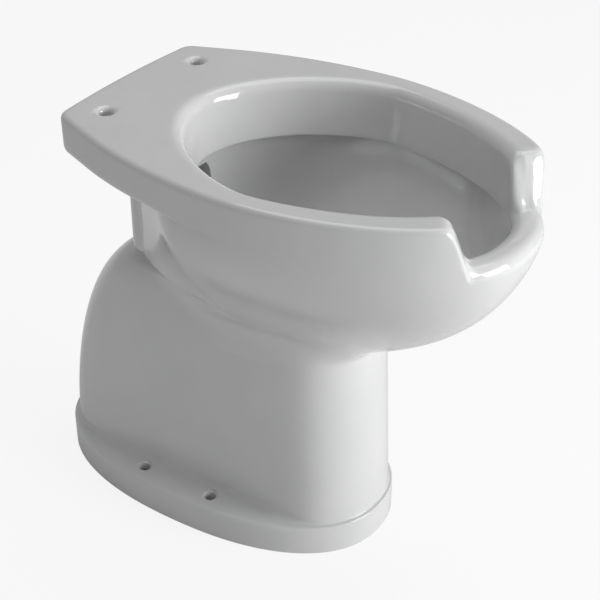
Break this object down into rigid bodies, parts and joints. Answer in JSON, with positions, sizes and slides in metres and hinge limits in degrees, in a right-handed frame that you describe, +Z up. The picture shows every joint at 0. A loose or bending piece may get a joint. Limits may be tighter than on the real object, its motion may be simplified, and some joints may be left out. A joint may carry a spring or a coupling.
{
  "type": "accessible toilet pan",
  "caption": "Raised floor-standing toilet pan with an open front: a dip in the front of the rim, a wide flat deck behind the bowl for a seat, a flush channel under the rim and an oval pedestal.",
  "frame": {"origin": "on the floor, under the middle of the pan's box; X runs across, Y from the front of the bowl to the back of the foot", "axes": "+Z up, +Y towards the wall behind, the dip faces -Y"},
  "size_m": [0.3348, 0.5822, 0.4825],
  "materials": {
    "china": "smooth clear glaze, mirror-like highlights",
    "china_inside": "thin glaze inside and bare biscuit outside, hidden in the pedestal",
    "plastic": "moulded white plastic"
  },
  "bodies": {
    "root": {"rim_deck": "china", "bowl": "china", "inlet_neck": "china", "pedestal": "china", "trap_rise": "china_inside", "trap_fall": "china_inside", "outlet_bridge": "china_inside", "flush_spreader": "plastic"}
  },
  "joints": []
}
